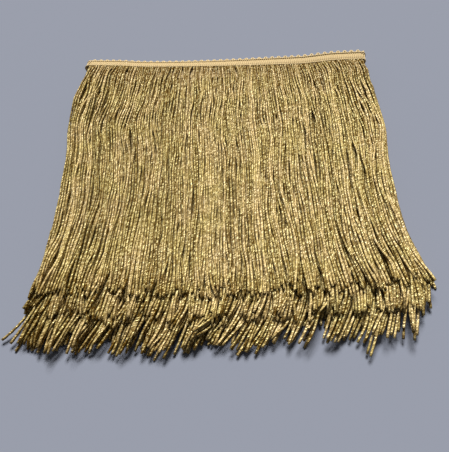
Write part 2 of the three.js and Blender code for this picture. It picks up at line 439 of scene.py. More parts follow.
@dataclass
class Heading:
    """The narrow braid: a ribbon wrapped with slanted threads, a chain at each edge, picots.

    flatness, at the left and at the right, is 0 where the outer run follows its bed, 1 where it
    lies level and more where it rolls forward. Places across the ribbon are shares of its
    width, from its upper edge.
    """

    node: str = "heading"
    station: float = 1.5
    fold_steps: int = 14
    flatness: tuple[float, float] = (0.27, 1.45)
    flatter_from: float = -45.0
    flatter_to: float = 85.0
    thread_sides: int = 4
    tape_half: float = 0.42
    tape_top: float = 0.16
    tape_bottom: float = 0.95
    tape_u: tuple[float, ...] = (0.0, 0.1, 0.8, 0.9)
    # Painted shade: the tape's low tone darkens the gaps between the wrap threads.
    tape_tone: float = 0.2
    wrap_margin: float = 2.5
    wrap_pitch: float = 1.62
    wrap_slant: float = 1.7
    wrap_radius: float = 0.43
    wrap_steps: int = 12
    wrap_top: float = 0.10
    wrap_bottom: float = 0.97
    wrap_rise: float = 0.42
    wrap_flatness: float = 0.35
    wrap_tone: float = 0.6
    chain_margin: float = 0.6
    chain_radius: float = 0.5
    chain_step: float = 0.9
    chain_twist: float = 3.2
    chain_edges: tuple[tuple[float, float], ...] = ((0.13, 0.0), (0.93, 0.5))
    chain_sway: float = 0.035
    chain_rise: tuple[float, float] = (0.62, 0.22)
    chain_tone: tuple[float, float] = (0.55, 0.1)
    picot_margin: float = 1.0
    picot_pitch: float = 5.05
    picot_half_width: float = 1.3
    picot_height: float = 1.9
    picot_root: float = 0.1
    picot_point: float = 1.2
    picot_radius: float = 0.62
    picot_steps: int = 9
    picot_tone: float = 0.65

    def edge_point(self, layer: Layer, x: Array, inset: float) -> Array:
        """The middle of the heading's thickness on a layer, at an inset from its upper edge.

        The outer run lies flatter than its bed, and on its right it even rolls forward: its
        upper edge is held up by the fold.

        Args:
            layer: the run of trim.
            x: places along the heading.
            inset: how far below the upper edge.
        Returns:
            The points, places by 3.
        """
        depth = layer.edge_depth(x) + inset
        bed = depth
        if layer is FRONT_OUTER:
            roll = smoothstep(x, self.flatter_from, self.flatter_to)
            flatness = self.flatness[0] + (self.flatness[1] - self.flatness[0]) * roll
            bed = depth + flatness * (TRIM.heading_width - inset)
        height = layer.underside(x, bed) + TRIM.cloth_thickness / 2.0
        return np.stack([x, TRIM.bow(x) - depth, height], -1)

    def run(self, layer: Layer) -> tuple[Array, Array, Array]:
        """A straight run, in winding order.

        Args:
            layer: the run of trim.
        Returns:
            Its upper edge, its lower edge and its outward face, each stations by 3.
        """
        count = int((layer.left_x + layer.right_x) / self.station) + 1
        x = np.linspace(-layer.left_x, layer.right_x, count)
        x = x if layer.side is Side.FRONT else x[::-1]
        outward = np.zeros((count, 3))
        outward[:, 2] = layer.side.value
        return (self.edge_point(layer, x, 0.0),
                self.edge_point(layer, x, TRIM.heading_width), outward)

    def fold(self, start: Layer, end: Layer) -> tuple[Array, Array, Array]:
        """A turn-over: a half circle in x and z whose centre slides from one run to the next.

        Args:
            start: the run that ends at the turn-over.
            end: the run that begins there.
        Returns:
            Its upper edge, its lower edge and its outward face, each steps by 3.
        """
        way = -1.0 if start.side is Side.BACK else 1.0
        x = -start.left_x if way < 0 else start.right_x
        share = np.linspace(0.0, 1.0, self.fold_steps + 2)[1:-1]
        angle = np.pi * share
        edges = []
        for inset in (0.0, TRIM.heading_width):
            first = self.edge_point(start, np.array([x]), inset)[0]
            second = self.edge_point(end, np.array([x]), inset)[0]
            radius = abs(first[2] - second[2]) / 2.0
            centre = first + share[:, None] * (second - first)
            centre[:, 0] += way * radius * np.sin(angle)
            middle = (first[2] + second[2]) / 2.0
            centre[:, 2] = middle + start.side.value * radius * np.cos(angle)
            edges.append(centre)
        outward = np.stack([way * np.sin(angle), np.zeros_like(angle),
                            start.side.value * np.cos(angle)], -1)
        return edges[0], edges[1], outward

    def band(self) -> Band:
        """Joins the runs and the turn-overs in winding order.

        Returns:
            The whole ribbon, from the outer end under the back to the inner end at the front.
        """
        stretches = []
        for layer, following in zip(WINDING, (*WINDING[1:], None)):
            stretches.append(self.run(layer))
            if following is not None:
                stretches.append(self.fold(layer, following))
        upper, lower, outward = (np.concatenate(rows) for rows in zip(*stretches))
        gaps = np.linalg.norm(np.diff(upper, axis=0), axis=1)
        return Band(upper, lower, outward, np.concatenate([[0.0], np.cumsum(gaps)]))

    def tape(self, band: Band) -> Surface:
        """The ribbon under the threads: a flat tube, four points round.

        Args:
            band: the heading's ribbon.
        Returns:
            The tube, closed at both ends.
        """
        count = int(band.length[-1] / (2.0 * self.station))
        length = np.linspace(0.0, band.length[-1], count)
        corners = ((self.tape_top, 1.0), (self.tape_top, -1.0),
                   (self.tape_bottom, -1.0), (self.tape_bottom, 1.0))
        ring = np.stack([band.at(length, np.full(count, across),
                                 np.full(count, side * self.tape_half))
                         for across, side in corners], 1)
        points = ring.reshape(-1, 3)
        row, column = np.meshgrid(np.arange(count - 1), np.arange(4), indexing="ij")
        a, b = row * 4 + column, row * 4 + (column + 1) % 4
        sides = np.stack([np.stack([a, b, b + 4], -1),
                          np.stack([a, b + 4, a + 4], -1)], 2).reshape(-1, 3)
        last = (count - 1) * 4
        caps = np.array([[0, 2, 1], [0, 3, 2], [last, last + 1, last + 2],
                         [last, last + 2, last + 3]])
        faces = np.concatenate([sides, caps])
        if signed_volume(points, faces) < 0.0:
            faces = faces[:, ::-1]
        place = np.stack([np.tile(self.tape_u, count), np.repeat(length, 4)], -1)
        # The low tone is painted shade in the gaps between the wrap threads.
        tone = np.full(len(points), self.tape_tone)
        return Surface(points, faces, place[faces].reshape(-1, 2), tone)

    @staticmethod
    def on_table(path: Array, radius: float) -> Array:
        """A thread's path, raised to where the thread lies on the table."""
        return np.concatenate([path[..., :2], np.maximum(path[..., 2:], radius)], axis=-1)

    def wrap(self, band: Band) -> Surface:
        """The slanted threads: one helix round the ribbon's flattened section.

        Across goes as the cosine of the turn and the rise as its flattened sine. The upper
        half runs ahead along the heading, so that the threads lean on both faces.

        Args:
            band: the heading's ribbon.
        Returns:
            The thread's tube.
        """
        turns = int((band.length[-1] - 2.0 * self.wrap_margin) / self.wrap_pitch)
        turn = np.linspace(0.0, turns, turns * self.wrap_steps + 1)
        angle = 2.0 * np.pi * turn
        half = (self.wrap_bottom - self.wrap_top) / 2.0
        across = (self.wrap_bottom + self.wrap_top) / 2.0 + half * np.cos(angle)
        flattened = np.sign(np.sin(angle)) * np.abs(np.sin(angle)) ** self.wrap_flatness
        rise = self.wrap_rise * flattened
        lean = self.wrap_slant * (0.5 - across)
        length = self.wrap_margin + turn * self.wrap_pitch
        facing = band.facing(length)
        ahead = np.where(facing[:, 2] >= 0.0, 1.0, -1.0)
        path = self.on_table(band.at(length + ahead * lean, across, rise), self.wrap_radius)
        # The small term keeps the direction from ever lying along the thread.
        away = facing * np.where(rise >= 0.0, 1.0, -1.0)[:, None] + 0.001
        thickness = np.full((1, len(path)), self.wrap_radius)
        tone = np.array([self.wrap_tone])
        return tubes(path[None], thickness, self.thread_sides, tone, away[None])

    def chains(self, band: Band) -> Surface:
        """The lengthwise rows at both edges: two threads that twist about each other.

        Across sways as the cosine of the twist and the rise as its sine.

        Args:
            band: the heading's ribbon.
        Returns:
            The tubes of all four threads.
        """
        rows = []
        length = np.arange(self.chain_margin, band.length[-1] - self.chain_margin,
                           self.chain_step)
        middle, swing = self.chain_rise
        tone, tone_step = self.chain_tone
        for place, start in self.chain_edges:
            for phase in (start, start + np.pi):
                twist = 2.0 * np.pi * length / self.chain_twist + phase
                across = place + self.chain_sway * np.cos(twist)
                path = band.at(length, across, middle + swing * np.sin(twist))
                path = self.on_table(path, self.chain_radius)
                radii = np.full((1, len(length)), self.chain_radius)
                own_tone = np.array([tone + tone_step * np.cos(phase)])
                rows.append(tubes(path[None], radii, self.thread_sides, own_tone,
                                  band.facing(length)[None]))
        return Surface.joined(rows)

    def picots(self, band: Band) -> Surface:
        """The loops on the upper edge: half ellipses, one for each picot pitch.

        Args:
            band: the heading's ribbon.
        Returns:
            The tubes of all the loops.
        """
        count = int((band.length[-1] - 2.0 * self.picot_margin) / self.picot_pitch)
        centre = self.picot_margin + self.picot_pitch * (np.arange(count) + 0.5)
        angle = np.linspace(0.0, np.pi, self.picot_steps)
        length = centre[:, None] - self.picot_half_width * np.cos(angle)[None]
        height = self.picot_height + self.picot_root * TRIM.heading_width
        top = self.tape_top - height / TRIM.heading_width
        across = self.tape_top + (top - self.tape_top) * np.sin(angle) ** self.picot_point
        path = band.at(length, np.broadcast_to(across, length.shape), np.zeros_like(length))
        radii = np.full(length.shape, self.picot_radius)
        tone = np.full(count, self.picot_tone)
        return tubes(path, radii, self.thread_sides, tone, band.facing(length))

    def build(self) -> bpy.types.Object:
        """Makes the braid and dresses it.

        Returns:
            The heading's piece.
        """
        band = self.band()
        surface = Surface.joined([self.tape(band), self.wrap(band), self.chains(band),
                                  self.picots(band)])
        piece = surface.to_object("heading_braid")
        piece.data.materials.append(BraidFinish().material())
        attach(piece, "root")
        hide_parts(self.node)
        report(piece)
        return piece


# The cords

def directions(path: Array) -> Array:
    """The level direction across a path at each station: its own way, turned a quarter."""
    tangent = unit(np.gradient(path, axis=0))
    return np.stack([-tangent[:, 1], tangent[:, 0]], -1)


class Pile:
    """The top of what is laid so far, as heights on a grid over the table."""

    under_cord = (-0.9, -0.6, -0.3, 0.0, 0.3, 0.6, 0.9)

    def __init__(self, low: tuple[float, float], high: tuple[float, float], cell: float) -> None:
        """Starts with the bare table, at height 0.

        Args:
            low: the grid's corner at the front left.
            high: its corner at the back right.
            cell: the side of a cell.
        """
        self.low = np.array(low)
        self.cell = cell
        counts = np.ceil((np.array(high) - self.low) / cell).astype(int)
        self.heights = np.zeros(counts)

    def cells(self, points: Array) -> tuple[Array, Array]:
        """Finds the cell under each point, or the nearest one at the grid's edge.

        Args:
            points: their x and y come first in the last axis.
        Returns:
            The grid's rows and columns.
        """
        index = ((points[..., :2] - self.low) / self.cell).astype(int)
        return (np.clip(index[..., 0], 0, self.heights.shape[0] - 1),
                np.clip(index[..., 1], 0, self.heights.shape[1] - 1))

    def lay(self, points: Array, heights: Array) -> None:
        """Raises the pile's top to the given heights where they are above it."""
        np.maximum.at(self.heights, self.cells(points), heights)

    def rest(self, path: Array, normal: Array, radius: float) -> Array:
        """The lowest height at which a round cord's middle can lie along a path.

        At an offset across the cord its underside is the middle's height less the root of the
        radius squared less the offset squared, and that has to clear the pile.

        Args:
            path: stations by 2.
            normal: the level direction across the cord, stations by 2.
            radius: the cord's.
        Returns:
            The height at each station.
        """
        offsets = radius * np.array(self.under_cord)
        points = path[:, None, :] + offsets[None, :, None] * normal[:, None, :]
        clearance = np.sqrt(radius ** 2 - offsets ** 2)
        return (self.heights[self.cells(points)] + clearance).max(axis=1)


@dataclass
class Clumps:
    """Neighbouring cords that fall together: what each cord has from its clump."""

    pull: Array
    lean: Array
    length: Array


@dataclass
class CordBed:
    """Lays the cords of every layer on the pile, lowest layer first.

    The tables of waves give wavelengths in millimetres and how far each wave moves a cord. A
    range is what a random factor is drawn from.
    """

    pile_low: tuple[float, float] = (-135.0, -265.0)
    pile_high: tuple[float, float] = (140.0, 8.0)
    pile_cell: float = 0.4
    pitch: float = 1.26
    radius: float = 0.72
    squash: float = 0.93
    path_stations: int = 112
    sag: float = 0.045
    relax_rounds: int = 70
    slide_rounds: int = 6
    slide_reach: float = 0.45
    slide_share: float = 0.2
    slide_most: float = 0.16
    slide_window: int = 17
    held_stations: int = 6
    freed_stations: float = 12.0
    sunk_stations: int = 4
    root_inset: float = 0.6
    root_scatter: float = 0.22
    root_overlap: float = 1.2
    root_rise: float = 0.4
    root_gather: float = 0.3
    root_gather_range: tuple[float, float] = (0.4, 1.6)
    root_waves: tuple[float, ...] = (5.1, 8.3)
    gather_grown: float = 0.05
    gather_gone: tuple[float, float] = (0.12, 0.34)
    tip_share: float = 0.85
    tip_bend: float = 1.3
    tip_scatter: float = 1.1
    lean_loss: tuple[float, float] = (0.65, 0.1)
    length_scatter: float = 1.6
    least_step_squared: float = 0.04
    clump_width: float = 5.5
    clump_range: tuple[float, float] = (0.55, 1.5)
    clump_length: float = 1.3
    shared_waves: tuple[tuple[float, float], ...] = (
        (4.4, 0.18), (7.0, 0.25), (11.0, 0.25), (17.0, 0.25), (31.0, 0.4), (70.0, 0.6))
    wave_range: tuple[float, float] = (0.85, 1.15)
    down_wave: tuple[float, float, float] = (75.0, 3.0, 165.0)
    down_range: tuple[float, float] = (0.4, 1.0)
    own_waves: tuple[tuple[float, float], ...] = (
        (24.0, 0.06), (44.0, 0.15), (80.0, 0.28), (170.0, 0.4))
    waves_grown: float = 0.12
    calm: float = 0.85
    calm_ends: tuple[float, float] = (96.0, 102.0)
    fixed_ends: tuple[float, float] = (98.0, 101.0)
    outline_depth: float = 262.0
    outline_step: float = 2.0
    outline_window: int = 13
    end_fall: float = 0.1
    end_share: float = 0.8
    end_sag_range: tuple[float, float] = (0.4, 1.8)
    stiffening: int = 8
    fine_steps: int = 5
    round_top: tuple[float, ...] = (-0.88, -0.44, 0.0, 0.44, 0.88)
    heading_step: float = 0.35
    heading_sunk: float = 0.3

    def __post_init__(self) -> None:
        """Prepares the pile and the random draws."""
        self.pile = Pile(self.pile_low, self.pile_high, self.pile_cell)
        self.draw = np.random.default_rng(SEED)

    def lay_heading(self, heading: Heading, layer: Layer) -> None:
        """Adds a layer's heading to the pile, as the cords above have to pass over it.

        Args:
            heading: the braid.
            layer: the run of trim.
        """
        x = np.arange(-layer.left_x, layer.right_x, self.heading_step)
        insets = np.arange(-heading.picot_height, TRIM.heading_width + 0.1, self.heading_step)
        for inset in insets:
            edge = heading.edge_point(layer, x, inset)
            self.pile.lay(edge, edge[:, 2] + TRIM.cloth_thickness / 2.0 - self.heading_sunk)

    def clumps(self, root: Array, layer: Layer) -> Clumps:
        """Gathers neighbouring cords into clumps of random widths.

        Args:
            root: the places where the cords start.
            layer: the run of trim.
        Returns:
            For each cord the way to its clump's middle, and the clump's own lean and length.
        """
        edges = [-layer.left_x]
        while edges[-1] < layer.right_x:
            width = self.clump_width * self.draw.uniform(*self.clump_range)
            edges.append(edges[-1] + width)
        clump = np.searchsorted(edges, root) - 1
        middles = (np.array(edges[:-1]) + np.array(edges[1:])) / 2.0
        lean = self.draw.normal(0.0, layer.tip_scatter, len(edges))
        length = self.draw.normal(0.0, self.clump_length, len(edges))
        return Clumps(middles[clump] - root, lean[clump], length[clump])

    def spread(self, root: Array, depth: Array, reach: float) -> Array:
        """How far the pile's widening moves each cord sideways.

        The two steps of the smoothed outline at that depth are mixed by the root's place
        between the ends, times the layer's reach.

        Args:
            root: the places where the cords start.
            depth: cords by stations, below the outer turn's upper edge.
            reach: the layer's share of the outline.
        Returns:
            The moves, cords by stations.
        """
        kernel = np.hanning(self.outline_window)
        kernel = kernel / kernel.sum()
        rows = np.arange(0.0, self.outline_depth, self.outline_step)
        half = self.outline_window // 2
        left, right = (
            np.interp(depth, rows, np.convolve(np.pad(
                np.interp(rows, OUTLINE[:, 0], OUTLINE[:, side]), half, mode="edge"),
                kernel, "valid"))
            for side in (1, 2))
        place = (root[:, None] / TRIM.half_front + 1.0) / 2.0
        return reach * (left * (1.0 - place) + right * place)

    def drawn_up(self, root: Array, layer: Layer, length: Array) -> Array:
        """Shortens the cords as the table says, the inner turn's by both of its columns.

        Args:
            root: the places where the cords start.
            layer: the run of trim.
            length: the cords' lengths.
        Returns:
            The shortened lengths.
        """
        length = length - np.interp(root, DRAWN_UP[:, 0], DRAWN_UP[:, 1])
        if layer in INNER_TURN:
            length = length - np.interp(root, DRAWN_UP[:, 0], DRAWN_UP[:, 2])
        return length

    def sway(self, x: Array, root: Array, depth: Array, grown: Array) -> Array:
        """Moves cords together, by waves that run aslant over the whole layer.

        Each wave is its amount times the sine of (a turn per millimetre along the heading
        times the root, plus one down the cords times the depth, plus a phase). Its wavelength
        down the cords is a random factor times (the first of down_wave plus the second times
        the wavelength along the heading, at most the third).

        Args:
            x: the cords' places so far, cords by stations.
            root: the places where the cords start.
            depth: how far down the cords, in millimetres.
            grown: how much of the sway there is, which eases in from the root.
        Returns:
            The cords' new places.
        """
        draw = self.draw
        base, share, most = self.down_wave
        for wavelength, amount in self.shared_waves:
            turn_x = 2.0 * np.pi / wavelength * draw.uniform(*self.wave_range)
            turn_y = 2.0 * np.pi / draw.uniform(*self.down_range) * draw.choice([-1.0, 1.0])
            turn_y = turn_y / min(base + share * wavelength, most)
            phase = draw.uniform(0.0, 2.0 * np.pi)
            x = x + amount * np.sin(turn_x * root[:, None] + turn_y * depth + phase) * grown
        return x

    def gather_roots(self, x: Array, root: Array, near: Array) -> Array:
        """Draws cords together in small groups just below the foot chain.

        Each cord moves by its own pull times the sine of its root's place on two short waves.

        Args:
            x: the cords' places so far, cords by stations.
            root: the places where the cords start.
            near: how much of the pull there is, at each station.
        Returns:
            The cords' new places.
        """
        for wavelength in self.root_waves:
            phase = self.draw.uniform(0.0, 2.0 * np.pi)
            pull = self.root_gather * self.draw.uniform(*self.root_gather_range, len(root))
            x = x + (pull * np.sin(2.0 * np.pi * root / wavelength + phase))[:, None] * near
        return x

    def wander(self, x: Array, root: Array, depth: Array, grown: Array) -> Array:
        """Moves each cord by waves of its own, less for the cords at both ends.

        A wave is its amount, drawn for each cord, times (the sine of the depth's turn plus a
        phase, less the phase's sine, so that the root stays).

        Args:
            x: the cords' places so far, cords by stations.
            root: the places where the cords start.
            depth: how far down the cords, in millimetres.
            grown: how much of the wander there is, which eases in from the root.
        Returns:
            The cords' new places.
        """
        inside = 1.0 - self.calm * smoothstep(np.abs(root), *self.calm_ends)[:, None]
        for wavelength, amount in self.own_waves:
            phase = self.draw.uniform(0.0, 2.0 * np.pi, len(root))[:, None]
            own = amount * self.draw.normal(0.0, 1.0, len(root))[:, None]
            x = x + own * inside * (np.sin(2.0 * np.pi * depth / wavelength + phase)
                                    - np.sin(phase)) * grown
        return x

    def flow(self, layer: Layer) -> Array:
        """Each cord's path seen from above.

        x is the root's place plus the spread of the pile, the bend of the end and the pull
        towards the clump's middle, which both grow late, plus the sway, the gathering at the
        root and the cord's own wander. y goes down by what is left of each step's length. The
        lean is the layer's, less lean_loss times the square of the place and the place.

        Args:
            layer: the run of trim whose cords are laid.
        Returns:
            The paths, cords by stations by 2.
        """
        draw = self.draw
        count = int((layer.left_x + layer.right_x) / self.pitch)
        root = np.linspace(-layer.left_x + self.root_inset, layer.right_x - self.root_inset,
                           count)
        root = root + draw.normal(0.0, self.root_scatter, count)
        across = root / TRIM.half_front
        clumps = self.clumps(root, layer)
        length = (TRIM.cord_drop - layer.drawn_up + clumps.length
                  + draw.normal(0.0, self.length_scatter, count))
        loss_square, loss = self.lean_loss
        lean = layer.lean * (1.0 - loss_square * across ** 2 - loss * across)
        bend = lean + clumps.lean + draw.normal(0.0, self.tip_scatter, count)
        length = self.drawn_up(root, layer, length)
        for name, at, aside, longer in STRAYS:
            if name == layer.node:
                cord = np.argmin(np.abs(root - at))
                bend[cord] += aside
                length[cord] += longer

        share = np.linspace(0.0, 1.0, self.path_stations)[None, :]
        late = np.clip((share - self.tip_share) / (1.0 - self.tip_share), 0.0, 1.0)
        late = late ** self.tip_bend
        start = layer.edge_depth(root) + TRIM.heading_width - self.root_overlap
        depth = share * TRIM.cord_drop
        x = root[:, None] + self.spread(root, start[:, None] + depth, layer.reach)
        x = x + bend[:, None] * late + (clumps.pull * layer.gather)[:, None] * late
        grown = smoothstep(share, 0.0, self.waves_grown)
        near = smoothstep(share, 0.0, self.gather_grown)
        near = near * (1.0 - smoothstep(share, *self.gather_gone))
        x = self.sway(x, root, depth, grown)
        x = self.gather_roots(x, root, near)
        x = self.wander(x, root, depth, grown)

        step = (length / (self.path_stations - 1))[:, None]
        down = np.sqrt(np.maximum(step ** 2 - np.diff(x, axis=1) ** 2,
                                  self.least_step_squared))
        y = (TRIM.bow(root) - start)[:, None] - np.concatenate(
            [np.zeros((count, 1)), np.cumsum(down, axis=1)], axis=1)
        return np.stack([x, y], -1)

    def settle(self, rest: Array, root_height: float, end_sag: float) -> Array:
        """The heights of a slack cord over what it can't go below.

        The last stretch starts out stiff: it falls by no more than end_fall from one station
        to the next. Each round then puts every point at the middle of its neighbours less the
        sag, but not below its rest. The free end goes on in its neighbours' line and sags.

        Args:
            rest: the lowest height at each station.
            root_height: the height at which the cord leaves the heading.
            end_sag: the share of the sag that the last stretch has.
        Returns:
            The heights of the cord's middle line.
        """
        height = rest.copy()
        height[0] = root_height
        tail = int(self.end_share * len(rest))
        fall = self.end_fall * np.arange(len(rest) - tail)
        height[tail:] = np.maximum.accumulate(rest[tail:] + fall) - fall
        stiff = smoothstep(np.arange(len(rest)), tail - self.stiffening, tail + self.stiffening)
        left = end_sag * self.draw.uniform(*self.end_sag_range)
        sag = self.sag * (1.0 - (1.0 - left) * stiff)
        for _ in range(self.relax_rounds):
            middle = 0.5 * (height[:-2] + height[2:]) - sag[1:-1]
            height[1:-1] = np.maximum(rest[1:-1], middle)
            height[-1] = max(rest[-1], 2.0 * height[-2] - height[-3] - 2.0 * sag[-1])
        return height

    def slide(self, path: Array, radius: float) -> Array:
        """Lets a cord slide off what it would ride on.

        Each round moves every station across the cord, by a share of how much higher the pile
        lies on one side than on the other, smoothed along the cord. The root is held.

        Args:
            path: stations by 2.
            radius: the cord's.
        Returns:
            The new path, stations by 2.
        """
        held = (np.arange(len(path)) - self.held_stations) / self.freed_stations
        free = np.clip(held, 0.0, 1.0) * (1.0 - smoothstep(abs(path[0, 0]), *self.fixed_ends))
        kernel = np.hanning(self.slide_window)
        kernel /= kernel.sum()
        path = path.copy()
        for _ in range(self.slide_rounds):
            normal = directions(path)
            reach = self.slide_reach * normal
            slope = (self.pile.rest(path + reach, normal, radius)
                     - self.pile.rest(path - reach, normal, radius))
            slope = np.pad(slope, self.slide_window // 2, mode="edge")
            slope = np.convolve(slope, kernel, mode="valid")
            move = np.clip(self.slide_share * slope, -self.slide_most, self.slide_most)
            path -= (move * free)[:, None] * normal
        return path

    def lay_cord(self, path: Array, root_height: float, end_sag: float) -> Array:
        """Lays one cord: it slides off what it would ride on, then settles on the pile.

        Args:
            path: stations by 2.
            root_height: the height at which it leaves the heading.
            end_sag: the share of the sag that its end has.
        Returns:
            The cord's middle line, stations by 3.
        """
        radius = self.radius * self.squash
        path = self.slide(path, radius)
        normal = directions(path)
        rest = self.pile.rest(path, normal, radius)
        sunk = slice(0, self.sunk_stations)
        rest[sunk] = np.minimum(rest[sunk], root_height)
        height = self.settle(rest, root_height, end_sag)
        self.mark(path, height, normal)
        return np.concatenate([path, height[:, None]], axis=1)

    def mark(self, path: Array, height: Array, normal: Array) -> None:
        """Adds a laid cord to the pile: its round top, sampled along and across.

        Args:
            path: stations by 2.
            height: the cord's middle line over the table.
            normal: the level direction across the cord, stations by 2.
        """
        stations = np.arange(len(path))
        fine = np.linspace(0, len(path) - 1, self.fine_steps * len(path))
        line = np.stack([np.interp(fine, stations, column) for column in path.T], -1)
        side = np.stack([np.interp(fine, stations, column) for column in normal.T], -1)
        level = np.interp(fine, stations, height)
        radius = self.radius * self.squash
        for offset in radius * np.array(self.round_top):
            self.pile.lay(line + offset * side, level + np.sqrt(radius ** 2 - offset ** 2))

    def lay_layer(self, layer: Layer, heading: Heading) -> Array:
        """Lays all of a layer's cords in random order, then its heading.

        Args:
            layer: the run of trim.
            heading: the braid.
        Returns:
            The cords' middle lines, cords by stations by 3.
        """
        paths = self.flow(layer)
        depth = layer.edge_depth(paths[:, 0, 0]) + TRIM.heading_width - self.root_overlap
        roots = layer.underside(paths[:, 0, 0], depth) + TRIM.cloth_thickness / 2.0
        roots = roots + self.root_rise
        lines = np.zeros((*paths.shape[:2], 3))
        for index in self.draw.permutation(len(paths)):
            lines[index] = self.lay_cord(paths[index], roots[index], layer.end_sag)
        self.lay_heading(heading, layer)
        return lines


@dataclass
class Skirt:
    """One layer's cords as a mesh of fine knitted tubes.

    Along a cord every other ring swells, the cord loosens towards its end, and its cut end
    flares by a little.
    """

    layer: Layer
    bed: CordBed
    heading: Heading
    thickness_scatter: float = 0.06
    knit_swell: float = 0.05
    loose_swell: float = 0.12
    loose_from: float = 0.3
    loose_to: float = 0.9
    flare: float = 0.04
    flare_length: float = 2.2

    def radii(self, draw: np.random.Generator, count: int) -> Array:
        """Each ring's radius: the cord's own thickness times the swells and the flare.

        Args:
            draw: where the cords' thicknesses are drawn from.
            count: how many cords there are.
        Returns:
            The radii, cords by rings.
        """
        rings = self.layer.rings
        places = np.linspace(0.0, 1.0, rings)
        thick = self.bed.radius * draw.normal(1.0, self.thickness_scatter, count)[:, None]
        knit = 1.0 + self.knit_swell * np.where(np.arange(rings) % 2 == 0, 1.0, -1.0)
        loose = 1.0 + self.loose_swell * smoothstep(places, self.loose_from, self.loose_to)
        left = (1.0 - places)[None] * TRIM.cord_drop
        flare = 1.0 + self.flare * np.clip(1.0 - left / self.flare_length, 0.0, 1.0)
        return thick * (knit * loose)[None] * flare

    def build(self, finish: "ChainetteFinish") -> bpy.types.Object:
        """Lays the cords, makes their tubes and dresses them.

        Args:
            finish: the cords' material.
        Returns:
            The skirt's piece.
        """
        layer = self.layer
        lines = self.bed.lay_layer(layer, self.heading)
        stations = np.linspace(0.0, 1.0, lines.shape[1])
        places = np.linspace(0.0, 1.0, layer.rings)
        paths = np.stack([[np.interp(places, stations, line[:, axis]) for axis in range(3)]
                          for line in lines]).transpose(0, 2, 1)
        draw = np.random.default_rng(SEED + 100 + layer.level)
        radii = self.radii(draw, len(lines))
        tone = draw.uniform(0.0, 1.0, len(lines))
        surface = tubes(paths, radii, layer.sides, tone, np.array([0.0, 0.0, 1.0]))
        piece = surface.to_object(layer.node.replace("skirt", "cords"))
        piece.data.materials.append(finish.material())
        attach(piece, "root")
        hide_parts(layer.node)
        report(piece)
        return piece


# Finishes

Socket = bpy.types.NodeSocket
Tree = bpy.types.NodeTree


def node(tree: Tree, kind: str, **settings: object) -> bpy.types.Node:
    """Adds a shader node and sets its named properties.

    Args:
        tree: the material's nodes.
        kind: the node's type.
        settings: its properties, by name.
    Returns:
        The new node.
    """
    made = tree.nodes.new(kind)
    for name, value in settings.items():
        setattr(made, name, value)
    return made


def math(tree: Tree, operation: str, first: object, second: object = None,
         use_clamp: bool = False) -> Socket:
    """Adds a math node.

    Args:
        tree: the material's nodes.
        operation: what the node works out.
        first: a socket to link or a number to set.
        second: the same for the second input, if it has one.
        use_clamp: whether the result is kept between 0 and 1.
    Returns:
        The result's socket.
    """
    made = node(tree, "ShaderNodeMath", operation=operation, use_clamp=use_clamp)
    for socket, value in zip(made.inputs, (first, second)):
        if isinstance(value, Socket):
            tree.links.new(value, socket)
        elif value is not None:
            socket.default_value = value
    return made.outputs[0]


def mix_colour(tree: Tree, share: Socket, first: object, second: object) -> Socket:
    """Adds a colour mix.

    Args:
        tree: the material's nodes.
        share: 0 gives the first colour and 1 the second.
        first: a socket to link or a colour to set.
        second: a socket to link or a colour to set.
    Returns:
        The mixed colour's socket.
    """
    made = node(tree, "ShaderNodeMix", data_type="RGBA")
    tree.links.new(share, made.inputs[0])
    for socket, value in ((made.inputs[6], first), (made.inputs[7], second)):
        if isinstance(value, Socket):
            tree.links.new(value, socket)
        else:
            socket.default_value = (*value, 1.0)
    return made.outputs[2]


def noise(tree: Tree, scale: float) -> Socket:
    """Adds a noise on Object coordinates.

    Args:
        tree: the material's nodes.
        scale: how many steps it has in a metre.
    Returns:
        Its value.
    """
    place = node(tree, "ShaderNodeTexCoord")
    made = node(tree, "ShaderNodeTexNoise")
    made.inputs["Scale"].default_value = scale
    tree.links.new(place.outputs["Object"], made.inputs["Vector"])
    return made.outputs["Fac"]


def along_cord(tree: Tree) -> tuple[Socket, Socket]:
    """Reads a thread's UV map.

    Args:
        tree: the material's nodes.
    Returns:
        The share of a turn round the thread, and the millimetres along it.
    """
    uv = node(tree, "ShaderNodeUVMap", uv_map="along_cord")
    parts = node(tree, "ShaderNodeSeparateXYZ")
    tree.links.new(uv.outputs[0], parts.inputs[0])
    return parts.outputs[0], parts.outputs[1]


def own_tone(tree: Tree) -> Socket:
    """A thread's own tone, from the mesh's attribute."""
    return node(tree, "ShaderNodeAttribute", attribute_name="tone").outputs["Fac"]


@dataclass
class Stitches:
    """What the cord's finish is mixed from, socket by socket.

    turn and length are the place on the cord, tone is the cord's own, height is a stitch's
    relief, luck and chances are each stitch's random number and vector, and broad is a slow
    noise over the whole trim.
    """

    turn: Socket
    length: Socket
    tone: Socket
    height: Socket
    luck: Socket
    chances: Socket
    broad: Socket


